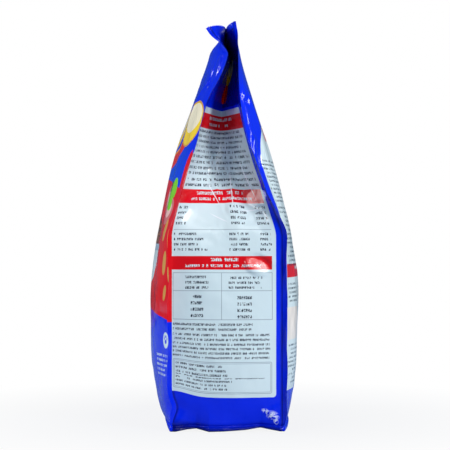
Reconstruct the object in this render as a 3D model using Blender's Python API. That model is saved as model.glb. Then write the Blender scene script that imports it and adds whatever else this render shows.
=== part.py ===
"""Pet food bag: a filled and sealed side gusset bag of printed film, standing on its base.

The bag is one closed body. A sheet of film is laid out as a flat grid, columns round the bag and
rows up it, and each row is folded to the bag's section at its height: four film faces that bulge
where the bag is full, side gussets that tuck in above the fill, a weld fin along each corner,
a rim round the base and a flat weld at the top, split into two flags at either end.

X runs along the bag's width, the front faces -Y, and Z is up. The origin is under the middle of
the base.
"""

import bmesh
import bpy
import numpy as np

# The film, in metres
HEIGHT = 0.420
PANEL_WIDTH = 0.250
GUSSET_WIDTH = 0.117
WELD_THICKNESS = 0.001

# The filled body
GUSSET_SLACK = 0.003
PANEL_BULGE = 0.024
GUSSET_BULGE = 0.009
BULGE_AT_BASE = 0.018
FILL_HEIGHT = 0.200

# The neck, where the gussets are tucked in
MOUTH_DROP = 0.034
MOUTH_GAP = 0.014
NECK_SAG_SHARE = 0.28
NECK_SOFTNESS_SHARE = 0.06
NECK_LEAN = 0.007
LEAN_START_SHARE = 0.7
CREASE_START_SHARE = 0.25
CREASE_RUN_SHARE = 0.5
TUCK_BOTTOM = 0.178
TUCK_ONSET = 0.090

# The top weld and its flags
TOP_WELD = 0.009
WELD_CLOSING = 0.014
CUT_EDGE = 0.0006
FRONT_FLAG_CURL = 0.012
BACK_FLAG_CURL = 0.002
FRONT_FLAG_DROOP = 0.006
FAR_FLAG_SHARE = 0.2

# The corner fins and the rim round the base
CORNER_FIN = 0.006
FIN_RUN_OUT = 0.020
FIN_BASE_SHARE = 0.2
RIM_HEIGHT = 0.0048
RIM_PROUD = 0.0022
RIM_GROOVE = 0.0012

# The printed fields on the side film
LABEL_BOTTOM = 0.035
LABEL_TOP = 0.333
LABEL_MARGIN = 0.009
BAND_HEIGHTS = ((0.166, 0.180), (0.234, 0.248), (0.312, 0.327))
FRONT_FIELD_BOTTOM = 0.112
FRONT_FIELD_TOP = 0.250

# How round each curve of the section is: 2 is a parabola, 1 is a sharp fold
FULL_CURVE_POWER = 2.2
NECK_CURVE_POWER = 3.0
CREASE_CURVE_POWER = 1.2
FLAG_CURVE_POWER = 1.4

# Depth of the bag at mid width, as a share of its fullest depth, by share of the height
BELLY_PROFILE_SHARES = (
    (0.00, 0.82), (0.05, 0.89), (0.14, 0.97), (0.25, 1.00), (0.36, 0.98), (0.47, 0.91),
    (0.58, 0.79), (0.69, 0.65), (0.79, 0.48), (0.88, 0.31), (0.94, 0.21), (1.00, 0.14),
)

# Columns and rows of the grid
FLAG_COLUMNS = 7
WEB_COLUMNS = 6
ROW_STEP = 0.0072
CLOSING_ROWS = 7
CURVE_STEPS = 160

SIDE_DEPTH = GUSSET_WIDTH - GUSSET_SLACK
BELLY_DEPTH = SIDE_DEPTH + 2 * PANEL_BULGE
MOUTH_HEIGHT = HEIGHT - MOUTH_DROP
WELD_BOTTOM = HEIGHT - TOP_WELD

# Columns across a film as shares of its width: those of the flags match the gusset's, and one
# lies on the edge of the label
HALF_GUSSET = GUSSET_WIDTH / 2
FLAG_STEPS = np.append(0.0, np.linspace(LABEL_MARGIN, HALF_GUSSET, FLAG_COLUMNS))
FLAG_CUTS = FLAG_STEPS / PANEL_WIDTH
WEB_CUTS = np.linspace(FLAG_CUTS[-1], 1 - FLAG_CUTS[-1], WEB_COLUMNS + 1)[1:-1]
PANEL_CUTS = np.concatenate((FLAG_CUTS, WEB_CUTS, (1 - FLAG_CUTS)[::-1]))
GUSSET_CUTS = np.append(FLAG_STEPS, GUSSET_WIDTH - FLAG_STEPS[-2::-1]) / GUSSET_WIDTH

BLUE, PALE, RED = range(3)
NEAR, FAR = 1, -1
FRONT, BACK = -1, 1


def ease(share):
    """Smooth step from 0 to 1."""
    share = np.clip(share, 0.0, 1.0)
    return share * share * (3.0 - 2.0 * share)


def blend(low, high, share):
    return low + (high - low) * share


def profile(points, share):
    """Height of a smooth curve through the points, at a share of their run."""
    shares, heights = np.array(points).T
    slopes = np.gradient(heights, shares)
    place = int(np.clip(np.searchsorted(shares, share) - 1, 0, len(shares) - 2))
    run = shares[place + 1] - shares[place]
    t = np.clip((share - shares[place]) / run, 0.0, 1.0)
    start, end = heights[place], heights[place + 1]
    bend = run * (t * (1 - t) ** 2 * slopes[place] - t * t * (1 - t) * slopes[place + 1])
    return blend(start, end, ease(t)) + bend


def arch_length(span, rise, power):
    """Length of the curve rise * (1 - |t| ** power) over a span."""
    t = np.linspace(-1.0, 1.0, CURVE_STEPS + 1)
    x = t * span / 2
    y = rise * (1 - np.abs(t) ** power)
    return np.hypot(np.diff(x), np.diff(y)).sum()


def solve(length_of, film, low, high):
    """The size between low and high at which a growing length reaches the film's."""
    for _ in range(40):
        middle = (low + high) / 2
        if length_of(middle) < film:
            low = middle
        else:
            high = middle
    return (low + high) / 2


class Section:
    """The bag's outline at one height."""

    def __init__(self, height):
        neck = np.clip((height - FILL_HEIGHT) / (MOUTH_HEIGHT - FILL_HEIGHT), 0.0, 1.0)
        neck = neck * neck * (1 + NECK_SOFTNESS_SHARE) / (neck + NECK_SOFTNESS_SHARE)
        top = ease((height - MOUTH_HEIGHT) / MOUTH_DROP)
        self.droop = FRONT_FLAG_DROOP * top
        self.sealed = ease(1 - (WELD_BOTTOM - height) / WELD_CLOSING)
        closing = np.clip((WELD_BOTTOM - height) / WELD_CLOSING, 0.0, 1.0)

        gap = blend(SIDE_DEPTH, MOUTH_GAP, neck + NECK_SAG_SHARE * neck * (1 - neck))
        upright = ease((neck - LEAN_START_SHARE) / (1 - LEAN_START_SHARE))
        lean = NECK_LEAN * (upright - np.sin(np.pi * neck) / 2)
        self.corner = {}
        for end, curl in ((NEAR, 1.0), (FAR, FAR_FLAG_SHARE)):
            self.corner[end, FRONT] = lean * (1 - top) - gap / 2 - FRONT_FLAG_CURL * curl * top
            self.corner[end, BACK] = lean * (1 - top) + gap / 2 + BACK_FLAG_CURL * curl * top

        half_belly = BELLY_DEPTH / 2 * profile(BELLY_PROFILE_SHARES, height / HEIGHT)
        self.belly = half_belly * np.sqrt(closing * (2 - closing))
        self.panel_power = blend(FULL_CURVE_POWER, NECK_CURVE_POWER, neck)
        rise = max(self.belly - gap / 2, 0.0)
        self.half_width = solve(
            lambda span: arch_length(span, rise, self.panel_power),
            PANEL_WIDTH, PANEL_WIDTH / 2, PANEL_WIDTH) / 2

        tucked = ease((height - TUCK_BOTTOM) / TUCK_ONSET)
        floor = blend(FULL_CURVE_POWER, NECK_CURVE_POWER, ease(neck / CREASE_START_SHARE))
        creased = ease((neck - CREASE_START_SHARE) / CREASE_RUN_SHARE)
        self.gusset_power = blend(floor, CREASE_CURVE_POWER, creased)
        depth = solve(
            lambda size: arch_length(gap, size, self.gusset_power),
            GUSSET_WIDTH, 0.0, GUSSET_WIDTH)
        lift = np.clip((height + BULGE_AT_BASE) / (FILL_HEIGHT + BULGE_AT_BASE), 0.0, 1.0)
        swell = GUSSET_BULGE * np.sin(np.pi * lift)
        self.gusset_out = blend(swell, -depth, tucked)
        self.crease = self.half_width * (1 - GUSSET_WIDTH / PANEL_WIDTH)
        self.flag_reach = self.half_width - self.crease
        self.half_weld = 0.0 if height > HEIGHT - CUT_EDGE / 2 else WELD_THICKNESS / 2

    def flag(self, end, side, x):
        """Where a flag of the top weld lies in Y, at a distance from the bag's middle."""
        run = np.clip((x - self.crease) / self.flag_reach, 0.0, 1.0)
        web = side * self.half_weld
        return blend(web, self.corner[end, side], run ** FLAG_CURVE_POWER)

    def panel(self, side):
        """Points on the front or back film, from the far corner to the near one."""
        t = np.linspace(-1.0, 1.0, CURVE_STEPS + 1)
        corner = np.where(t < 0, self.corner[FAR, side], self.corner[NEAR, side])
        y = blend(side * self.belly, corner, np.abs(t) ** self.panel_power)
        full = spread(t * self.half_width, y, PANEL_CUTS)
        x = (2 * PANEL_CUTS - 1) * self.half_width
        y = np.where(x < 0, self.flag(FAR, side, -x), self.flag(NEAR, side, x))
        return blend(full, np.column_stack((x, y)), self.sealed)

    def gusset(self, end):
        """Points on a side film, from its front corner to its back one."""
        s = np.linspace(-1.0, 1.0, CURVE_STEPS + 1)
        x = self.half_width + self.gusset_out * (1 - np.abs(s) ** self.gusset_power)
        y = blend(self.corner[end, FRONT], self.corner[end, BACK], (s + 1) / 2)
        full = spread(end * x, y, GUSSET_CUTS)
        x = blend(self.crease, self.half_width, np.abs(2 * GUSSET_CUTS - 1))
        front = GUSSET_CUTS < 0.5
        y = np.where(front, self.flag(end, FRONT, x), self.flag(end, BACK, x))
        y[FLAG_COLUMNS] = 0.0
        return blend(full, np.column_stack((end * x, y)), self.sealed)


def spread(x, y, cuts):
    """Points at the given shares of a curve's length."""
    lengths = np.concatenate(([0.0], np.cumsum(np.hypot(np.diff(x), np.diff(y)))))
    places = cuts * lengths[-1]
    return np.column_stack((np.interp(places, lengths, x), np.interp(places, lengths, y)))


def unit(vector):
    return vector / np.hypot(*vector)


def outline(height):
    """The closed outline at one height, counterclockwise from the far front corner."""
    section = Section(height)
    walls = [
        section.panel(FRONT),
        section.gusset(NEAR),
        section.panel(BACK)[::-1],
        section.gusset(FAR)[::-1],
    ]
    thickness = section.half_weld
    fin = CORNER_FIN * blend(FIN_BASE_SHARE, 1.0, ease(height / FIN_RUN_OUT))
    fins = []
    for wall, following in zip(walls, walls[1:] + walls[:1]):
        corner = (wall[-1] + following[0]) / 2
        along = unit(unit(wall[-1] - wall[-2]) + unit(following[0] - following[1]))
        across = np.array((-along[1], along[0])) * thickness
        fins.append((corner, corner + along * fin, across))
    points = []
    for place, wall in enumerate(walls):
        out = np.zeros_like(wall)
        if place % 2 == 0:
            out[:, 1] = thickness * (FRONT if place == 0 else BACK)
        else:
            out[:, 1] = thickness * np.sign(wall[FLAG_COLUMNS, 1] - wall[:, 1])
        faces = wall + out
        faces[0] = fins[place - 1][0] + fins[place - 1][2]
        faces[-1] = fins[place][0] - fins[place][2]
        points.extend(faces)
        points.append(fins[place][1])
    points = np.array(points)
    run = np.clip((np.abs(points[:, 0]) - section.crease) / section.flag_reach, 0.0, None)
    front = points[:, 1] < section.flag(NEAR, BACK, 0.0)
    return np.column_stack((points, height - section.droop * run ** 2 * front))


def rim_offset(height):
    """How far the rim stands proud of the film at a height."""
    if height > RIM_HEIGHT + RIM_GROOVE:
        return 0.0
    if height > RIM_HEIGHT:
        return -RIM_GROOVE / 2
    return RIM_PROUD if height > 0.0 else 0.0


def row_heights():
    """Heights of the grid's rows: close at the rim and the weld, and on each edge of the print."""
    rim = [0.0, RIM_HEIGHT * 0.15, RIM_HEIGHT * 0.9, RIM_HEIGHT + RIM_GROOVE / 2]
    stops = [RIM_HEIGHT + 2 * RIM_GROOVE, LABEL_BOTTOM, LABEL_TOP, FRONT_FIELD_BOTTOM,
             FRONT_FIELD_TOP, WELD_BOTTOM - WELD_CLOSING]
    stops = sorted(stops + [edge for band in BAND_HEIGHTS for edge in band])
    rows = list(rim)
    for low, high in zip(stops, stops[1:]):
        rows.extend(np.linspace(low, high, int(np.ceil((high - low) / ROW_STEP)) + 1)[:-1])
    rows.extend(np.linspace(WELD_BOTTOM - WELD_CLOSING, WELD_BOTTOM, CLOSING_ROWS))
    return np.array(rows + [WELD_BOTTOM + TOP_WELD / 2, HEIGHT - CUT_EDGE, HEIGHT])


def paint(bm, columns, heights):
    """Give each face of the grid its printed field, by the film it lies on."""
    panel = len(PANEL_CUTS) + 1
    gusset = len(GUSSET_CUTS) + 1
    label_columns = len(GUSSET_CUTS) - 2
    for index, face in enumerate(bm.faces):
        row, column = divmod(index, columns)
        height = (heights[row] + heights[row + 1]) / 2
        face.smooth = True
        face.material_index = BLUE
        if column < panel - 2 and FRONT_FIELD_BOTTOM < height < FRONT_FIELD_TOP:
            face.material_index = RED
        on_near = panel <= column < panel + label_columns
        on_far = 2 * panel + gusset < column <= 2 * panel + gusset + label_columns
        if (on_near or on_far) and LABEL_BOTTOM < height < LABEL_TOP:
            band = any(low < height < high for low, high in BAND_HEIGHTS)
            face.material_index = RED if band else PALE


def film_material(name, colour):
    material = bpy.data.materials.new(name)
    material.use_nodes = True
    shader = material.node_tree.nodes["Principled BSDF"]
    shader.inputs["Base Color"].default_value = (*colour, 1.0)
    shader.inputs["Roughness"].default_value = 0.22
    shader.inputs["Metallic"].default_value = 0.0
    material.diffuse_color = (*colour, 1.0)
    return material


def build_bag(collection):
    heights = row_heights()
    rings = [outline(height) for height in heights]
    columns = len(rings[0])

    bm = bmesh.new()
    bmesh.ops.create_grid(bm, x_segments=columns, y_segments=len(heights) - 1, size=1.0)
    bm.verts.ensure_lookup_table()
    for index, vert in enumerate(bm.verts):
        row, column = divmod(index, columns + 1)
        ring = rings[row]
        point = ring[column % columns]
        proud = rim_offset(heights[row])
        if proud:
            ahead, behind = ring[(column + 1) % columns], ring[(column - 1) % columns]
            tangent = unit(ahead[:2] - behind[:2])
            point = point + proud * np.array((tangent[1], -tangent[0], 0.0))
        vert.co = point
    paint(bm, columns, heights)
    bmesh.ops.remove_doubles(bm, verts=bm.verts, dist=1e-6)
    rim_edges = [edge for edge in bm.edges if edge.is_boundary]
    base = bmesh.ops.contextual_create(bm, geom=rim_edges)["faces"]
    bm.normal_update()
    bmesh.ops.reverse_faces(bm, faces=[face for face in base if face.normal.z > 0])

    mesh = bpy.data.meshes.new("bag")
    bm.to_mesh(mesh)
    bm.free()
    bag = bpy.data.objects.new("bag", mesh)
    collection.objects.link(bag)
    mesh.materials.append(film_material("blue_film", (0.005, 0.022, 0.560)))
    mesh.materials.append(film_material("label_film", (0.700, 0.800, 0.880)))
    mesh.materials.append(film_material("red_film", (0.620, 0.010, 0.012)))
    mesh.set_sharp_from_angle(angle=np.radians(50))
    return bag


def main():
    for leftover in list(bpy.data.objects):
        bpy.data.objects.remove(leftover)
    collection = bpy.data.collections.new("pet_food_bag")
    bpy.context.scene.collection.children.link(collection)
    build_bag(collection)


main()
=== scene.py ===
import math
from functools import partial

import bmesh
import bpy
import numpy as np
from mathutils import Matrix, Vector, noise


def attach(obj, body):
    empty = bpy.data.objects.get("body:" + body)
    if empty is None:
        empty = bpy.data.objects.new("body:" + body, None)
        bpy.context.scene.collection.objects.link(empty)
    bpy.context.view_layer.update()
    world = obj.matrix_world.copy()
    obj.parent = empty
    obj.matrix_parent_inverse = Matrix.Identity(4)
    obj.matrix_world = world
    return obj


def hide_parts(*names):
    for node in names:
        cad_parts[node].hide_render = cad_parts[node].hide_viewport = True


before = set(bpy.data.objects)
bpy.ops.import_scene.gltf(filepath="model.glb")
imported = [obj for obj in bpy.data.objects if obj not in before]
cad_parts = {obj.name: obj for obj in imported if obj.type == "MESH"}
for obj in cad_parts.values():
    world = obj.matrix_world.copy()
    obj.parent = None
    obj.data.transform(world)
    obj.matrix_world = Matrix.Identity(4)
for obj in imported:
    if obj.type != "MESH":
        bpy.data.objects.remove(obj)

SCENE = bpy.context.scene

# The film, in metres
HEIGHT = 0.42
PANEL_WIDTH = 0.25
GUSSET_WIDTH = 0.117
WELD_THICKNESS = 0.0006

# The filled body
GUSSET_SLACK = 0.003
PANEL_BULGE = 0.024
GUSSET_BULGE = 0.009
BULGE_AT_BASE = 0.018
FILL_HEIGHT = 0.2
FRONT_BASE_TUCK = 0.005
FRONT_TUCK_HEIGHT = 0.008

# The neck, where the gussets are tucked in
MOUTH_DROP = 0.034
MOUTH_GAP = 0.014
NECK_SAG = 0.28
NECK_SOFTNESS = 0.06
NECK_LEAN = 0.007
LEAN_START = 0.7
CREASE_START = 0.25
CREASE_RUN = 0.5
BACK_DRAW = 0.0025
BACK_DRAW_RISE = 0.08
TUCK_BOTTOM = 0.178
TUCK_ONSET = 0.09

# The top weld and its flags
TOP_WELD = 0.009
WELD_CLOSING = 0.014
CUT_EDGE = 0.0006
FRONT_FLAG_CURL = 0.012
BACK_FLAG_CURL = 0.002
FRONT_FLAG_DROOP = 0.0055
FAR_FLAG_SHARE = 0.2
TOOTH_DEPTH = 0.0009

# The corner fins and the rim round the base
CORNER_FIN = 0.006
FIN_RUN_OUT = 0.02
FIN_AT_BASE = 0.2
RIM_HEIGHT = 0.0048
RIM_PROUD = 0.0022
RIM_SQUARENESS = 6
STITCH_SHARE = 0.15
STITCH_WIDTH = 0.06
RIM_GROOVE = 0.0012
RIM_WAVE_TOP = 0.03
RIM_WAVE_FADE = 1.5
NEAR_SIDE = 0.1
BASE_PANEL = (0.96, 0.93)
BASE_RECESS = 0.0008

# How far the rim of the near side stands in or out, and how far it is lifted, by place across
RIM_WAVE = (
    (-0.06, 0.0, 0.0), (-0.053, 0.001, 0.0), (-0.042, -0.004, 0.0018),
    (-0.032, -0.006, 0.0026), (-0.019, 0.002, 0.0), (-0.004, 0.002, 0.0004),
    (0.018, -0.003, 0.0012), (0.034, -0.007, 0.0032), (0.045, -0.003, 0.0014),
    (0.054, 0.001, 0.0), (0.06, 0.0, 0.0),
)

# How round each curve of the section is: 2 is a parabola, 1 is a sharp fold
FULL_ROUNDNESS = 2.2
NECK_ROUNDNESS = 3.0
CREASE_ROUNDNESS = 1.2
FLAG_ROUNDNESS = 2.3
CURL_GROWTH = 1.25

# Depth of the bag at mid width, as a share of its fullest depth, by share of the height
BELLY_PROFILE = (
    (0.0, 0.82), (0.05, 0.89), (0.14, 0.97), (0.25, 1.0), (0.36, 0.98), (0.47, 0.91),
    (0.58, 0.79), (0.69, 0.65), (0.79, 0.48), (0.88, 0.31), (0.94, 0.21), (1.0, 0.14),
)

# Columns and rows of the film's grid, and steps of its curves
FLAG_COLUMNS = 48
WEB_COLUMNS = 46
ROW_STEP = 0.0023
CURVE_STEPS = 200
HALVINGS = 30
MERGE_DISTANCE = 1e-6
SHARP_ANGLE = math.radians(60)

# The photograph's camera
CAMERA_AZIMUTH = 88.4
CAMERA_DISTANCE = 1.6
CAMERA_HEIGHT = 0.196
MIDDLE_PIXEL_SIZE = 0.00111
PHOTO_SIDE = 450
HORIZON_ROW = 240
MIDDLE_COLUMN = 224.0
SENSOR_WIDTH = 36.0

SIDE_DEPTH = GUSSET_WIDTH - GUSSET_SLACK
BELLY_DEPTH = SIDE_DEPTH + 2 * PANEL_BULGE
MOUTH_HEIGHT = HEIGHT - MOUTH_DROP
WELD_BOTTOM = HEIGHT - TOP_WELD
HALF_GUSSET = GUSSET_WIDTH / 2
FLAG_STEPS = np.linspace(0.0, HALF_GUSSET, FLAG_COLUMNS + 1)
FLAG_CUTS = FLAG_STEPS / PANEL_WIDTH
WEB_CUTS = np.linspace(FLAG_CUTS[-1], 1 - FLAG_CUTS[-1], WEB_COLUMNS + 1)[1:-1]
PANEL_CUTS = np.concatenate((FLAG_CUTS, WEB_CUTS, (1 - FLAG_CUTS)[::-1]))
GUSSET_CUTS = np.append(FLAG_STEPS, GUSSET_WIDTH - FLAG_STEPS[-2::-1]) / GUSSET_WIDTH

NEAR, FAR = 1, -1
FRONT, BACK = -1, 1
FRONT_FILM, NEAR_FILM, BACK_FILM, FAR_FILM, FRONT_FIN, BACK_FIN, BASE_FILM = range(7)
NEAR_FOOT, FAR_FOOT = 7, 8
FOOT_SLOTS = {NEAR_FILM: NEAR_FOOT, FAR_FILM: FAR_FOOT}
FOOT_TOP = 0.1645
WALL_SLOTS = (FRONT_FILM, NEAR_FILM, BACK_FILM, FAR_FILM)
FIN_SLOTS = (FRONT_FIN, BACK_FIN, BACK_FIN, FRONT_FIN)
WALL_WIDTHS = (PANEL_WIDTH, GUSSET_WIDTH, PANEL_WIDTH, GUSSET_WIDTH)

# Sharp folds in the film: the film, the fold's path as (place, height) in a view square on to
# that film, how far it stands out, and how wide it is
FOLDS = (
    (NEAR_FILM, ((-0.0226, 0.288), (-0.0047, 0.232)), 0.0022, 0.003),
    (NEAR_FILM, ((0.0089, 0.288), (0.0131, 0.2765), (0.0184, 0.263), (0.0242, 0.249),
                 (0.0299, 0.236)), 0.0024, 0.0028),
    (NEAR_FILM, ((0.0047, 0.271), (0.0058, 0.249), (0.0079, 0.2315)), 0.0018, 0.0026),
    (NEAR_FILM, ((-0.012, 0.245), (-0.004, 0.224), (0.002, 0.212)), 0.0008, 0.003),
    (NEAR_FILM, ((-0.04, 0.226), (-0.025, 0.214), (-0.012, 0.204)), -0.0008, 0.004),
    (NEAR_FILM, ((0.022, 0.222), (0.036, 0.205), (0.044, 0.19)), -0.0007, 0.004),
    (NEAR_FILM, ((0.038, 0.024), (0.044, 0.017), (0.05, 0.012)), 0.0018, 0.002),
    (NEAR_FILM, ((0.036, 0.019), (0.043, 0.021), (0.051, 0.025)), 0.0016, 0.002),
    (NEAR_FILM, ((0.04, 0.012), (0.042, 0.018), (0.046, 0.026)), -0.0014, 0.0018),
    (NEAR_FILM, ((0.046, 0.009), (0.048, 0.015), (0.049, 0.021)), 0.0014, 0.0018),
    (FAR_FILM, ((0.024, 0.284), (0.01, 0.256), (0.003, 0.23)), 0.0012, 0.003),
    (FAR_FILM, ((-0.01, 0.29), (-0.019, 0.262), (-0.028, 0.24)), 0.0012, 0.003),
    (FAR_FILM, ((-0.004, 0.262), (-0.007, 0.236)), 0.0009, 0.0028),
    (FRONT_FILM, ((0.122, 0.118), (0.102, 0.121), (0.082, 0.12)), -0.0008, 0.0036),
    (FRONT_FILM, ((0.108, 0.372), (0.084, 0.346), (0.066, 0.316)), 0.0014, 0.004),
    (FRONT_FILM, ((-0.106, 0.366), (-0.086, 0.338), (-0.074, 0.3)), 0.0013, 0.004),
    (FRONT_FILM, ((0.03, 0.384), (0.022, 0.356), (0.026, 0.33)), 0.001, 0.004),
    (FRONT_FILM, ((-0.05, 0.38), (-0.042, 0.352), (-0.046, 0.326)), -0.001, 0.0044),
    (BACK_FILM, ((0.106, 0.368), (0.088, 0.34), (0.076, 0.306)), 0.0013, 0.004),
    (BACK_FILM, ((-0.108, 0.374), (-0.082, 0.344), (-0.064, 0.318)), 0.0013, 0.004),
    (BACK_FILM, ((-0.02, 0.384), (-0.014, 0.358), (-0.018, 0.328)), 0.001, 0.004),
    (BACK_FILM, ((0.102, 0.236), (0.108, 0.216), (0.106, 0.196)), -0.0008, 0.004),
    (BACK_FILM, ((0.109, 0.372), (0.112, 0.32), (0.117, 0.262)), 0.001, 0.0022),
)

# Flat facets between creases: the film, the middle (place, height), half sizes, turn, and how
# steeply the facet leans out across and up
FACETS = (
    (NEAR_FILM, (0.015, 0.223), (0.013, 0.0065), -0.4, -0.1, 0.06),
    (BACK_FILM, (0.106, 0.342), (0.009, 0.007), 0.0, 0.16, 0.16),
    (BACK_FILM, (0.112, 0.285), (0.008, 0.016), 0.2, 0.12, 0.12),
    (FRONT_FILM, (0.108, 0.37), (0.008, 0.013), -0.2, 0.14, 0.08),
    (FRONT_FILM, (-0.09, 0.345), (0.012, 0.016), 0.3, 0.1, 0.08),
    (FAR_FILM, (-0.02, 0.23), (0.011, 0.009), 0.4, -0.16, 0.1),
)
FACET_EDGE = 0.003
FOLD_END = 0.04

# Patches of the near film that are pulled flat: the middle (place, height), half sizes, turn, and
# the slopes across and up that the flat film takes
TAUT_PATCHES = (
    ((0.0305, 0.241), (0.011, 0.01), 0.5, 0.44, -0.17),
    ((0.0315, 0.17), (0.012, 0.008), -0.4, -0.24, -0.305),
)

# The dent in the near front corner, just above the base
CORNER_DENT = 0.0048
DENT_HEIGHT = 0.024
DENT_SIZE = 0.0105
DENT_REACH = 0.016
DENT_SLANT = 0.45

# Soft waves of the film: sizes across and up of its lumps, its swell and its loose waves, how far
# they stand out, and from where to where up the bag they go
WAVE_SIZES = ((0.012, 0.012), (0.045, 0.06), (0.028, 0.075))
LUMP_DEPTH = 0.0005
SWELL_DEPTH = 0.002
LOOSE_DEPTH = 0.0022
LOOSE_BOTTOM = 0.17
LOOSE_ONSET = 0.07
WAVES_BOTTOM = 0.008
WAVES_ONSET = 0.03
WAVES_TOP = 0.352
WAVES_FADE = 0.034

# How the corner fins sway from side to side: where each starts, and the wave's size and onset
FIN_PHASES = ((-1, 0.0), (-2, 2.0), (-3, 4.0), (-4, 1.0))
FIN_SWAY = 0.16
FIN_WAVE = 0.011
FIN_WAVE_ONSET = 0.05

# How the near label's lower edge sags: how far, how wide, at which level and over what height
LABEL_SAG = (0.007, 0.022, 0.036, 0.05)

# Lamps (name, place, width, height and power), the room's light, and the floor, which is a little
# darker near the bag
LAMPS = (
    ("key_softbox", (1.7, 1.5, 1.2), 0.7, 0.6, 41.0),
    ("fill_softbox", (2.2, 0.9, 1.9), 1.7, 1.1, 18.0),
    ("left_softbox", (1.65, -1.55, 0.95), 0.6, 0.5, 9.0),
    ("front_softbox", (-0.3, -2.0, 0.9), 0.6, 0.9, 37.0),
    ("back_softbox", (-0.2, 2.0, 0.9), 0.6, 0.9, 19.0),
    ("far_softbox", (-1.9, -0.4, 1.6), 0.8, 0.8, 18.0),
)
LAMP_TARGET = (0.0, 0.0, 0.2)
ROOM_LIGHT = 0.13
ROOM_TINT = (0.26, 0.58, 1.0, 1.0)
FLOOR_HALF = 6.0
FLOOR_COLOUR = (0.12, 0.19, 0.3, 1.0)
FLOOR_ROUGHNESS = 0.9
SHADE_REACH = 0.12
SHADE_FADE = 0.3
SHADE_DEPTH = 0.12

# The film's gloss, and its small creases, lumps, grain and weld ribs: how fine and deep they are
SPECULAR = 0.32
COAT = 0.15
COAT_ROUGHNESS = 0.06
ROUGHNESS = (0.16, 0.09)
ROUGHNESS_SCALE = 26.0
CREASE_SCALE = 34.0
CREASE_SHARPNESS = 16.0
CREASE_DEPTH = 0.00006
LOOSE_CREASE_DEPTH = 0.00014
LUMPS_AND_GRAIN = ((60.0, 1.0, 0.0007), (420.0, 2.0, 0.00003))
CREASE_STRETCH = (1.0, 1.0, 0.6)
CREASES_BOTTOM = 0.15
CREASES_ONSET = 0.12
WELD_RIB_PITCH = 0.0013
WELD_RIB_DEPTH = 0.00012

# The print: edges, the painted shade along a side film's corners and towards its base, and the marks of
# the small print as shares of a row's pitch or of a letter's width
INK_EDGE = 0.0003
CORNER_SHADE_WIDTH = 0.003
RIM_SHADE_TOP = 0.0085
SEED_STEP = 11.0
ROW_SEED_STEP = 17.0
MARK_MIDDLE = 0.45
MARK_HALF = 0.24
MARK_WIDTH = 0.8
WORD_GAPS = 0.16
STROKES_ACROSS = 3.0
STROKES_UP = 6.0
STROKE_GAPS = 0.28
INK_SCALE = 90.0
KIBBLE_SCALE = 120.0
KIBBLE_SHARPNESS = 5.0

# Pale lines painted as highlights along sharp creases on a side film: middle, half length and turn
CREASE_HIGHLIGHTS = (
    (0.0463, 0.245, 0.017, 1.14), (0.0674, 0.2465, 0.03, 1.53), (0.0864, 0.262, 0.029, 1.214),
    (0.05, 0.219, 0.013, 0.45), (0.086, 0.2265, 0.012, -0.12),
)
CREASE_HIGHLIGHT_WIDTH = 0.0006

# Painted glints on the crumpled patches low on the side film: middle, half sizes and turn
CRUMPLE_GLINTS = (
    (0.1, 0.02, 0.007, 0.0032, 0.5), (0.106, 0.0165, 0.0085, 0.0052, 0.3),
    (0.1095, 0.011, 0.0055, 0.003, 1.2),
)
GLINT_SCALE = 260.0
GLINT_SHARPNESS = 13.0
GLINT_STRENGTH = 1.8


def ink(red, green, blue):
    """A colour from its screen values, 0 to 255."""
    values = np.array((red, green, blue)) / 255
    straight = np.where(values <= 0.04045, values / 12.92, ((values + 0.055) / 1.055) ** 2.4)
    return (*straight.tolist(), 1.0)


# Colours of the print, and of the painted shade, highlights and glints
FILM_BLUE = ink(0, 38, 230)
DEEP_BLUE = ink(0, 26, 200)
LIGHT_BLUE = ink(24, 96, 226)
# Dark blue for the seams under the bag, and for painted shade on a side film
SEAM_AND_SHADE_BLUE = ink(3, 10, 110)
# Painted shade in the back half of a side film's tuck at the top
POCKET_PAINTED_SHADE = ink(4, 10, 134)
LABEL_WHITE = ink(217, 233, 235)
BAND_RED = ink(226, 16, 26)
WARM_RED = ink(240, 70, 40)
RIBBON_RED = ink(232, 44, 20)
RIBBON_GOLD = ink(244, 166, 40)
SMALL_INK = ink(34, 44, 60)
LINE_INK = ink(104, 120, 136)
CREAM = ink(252, 240, 206)
YELLOW = ink(255, 216, 50)
GOLD = ink(216, 160, 78)
KIBBLE = ink(178, 112, 54)
KIBBLE_DARK = ink(96, 52, 26)
BOWL_RIM = ink(176, 196, 212)
BOX_CREAM = ink(240, 232, 222)
LEAF = ink(132, 212, 40)
LEAF_DARK = ink(52, 128, 40)
SLICE_PINK = ink(216, 120, 116)
SLICE_PALE = ink(244, 196, 186)
# Painted highlights along creases, and painted glints on crumpled film
HIGHLIGHT_WHITE = ink(244, 248, 252)


def limit(share):
    return np.clip(share, 0.0, 1.0)


def ease(share):
    """Smooth step from 0 to 1."""
    share = limit(share)
    return share * share * (3.0 - 2.0 * share)


def hump(distance, width):
    """A smooth bump: 1 at a distance of 0, fading over the width."""
    return np.exp(-(distance / width) ** 2)


def blend(low, high, share):
    return low + (high - low) * share


def unit(vector):
    return vector / np.hypot(*vector)


def profile(points, share):
    """Height of a smooth curve through the points, at a share of their run."""
    shares, heights = np.array(points).T
    slopes = np.gradient(heights, shares)
    place = int(np.clip(np.searchsorted(shares, share) - 1, 0, len(shares) - 2))
    run = shares[place + 1] - shares[place]
    t = limit((share - shares[place]) / run)
    bend = run * (t * (1 - t) ** 2 * slopes[place] - t * t * (1 - t) * slopes[place + 1])
    return blend(heights[place], heights[place + 1], ease(t)) + bend


def arch_length(span, rise, power):
    """Length of the curve rise * (1 - |t| ** power) over a span."""
    t = np.linspace(-1.0, 1.0, CURVE_STEPS + 1)
    x = t * span / 2
    y = rise * (1 - np.abs(t) ** power)
    return np.hypot(np.diff(x), np.diff(y)).sum()


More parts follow.
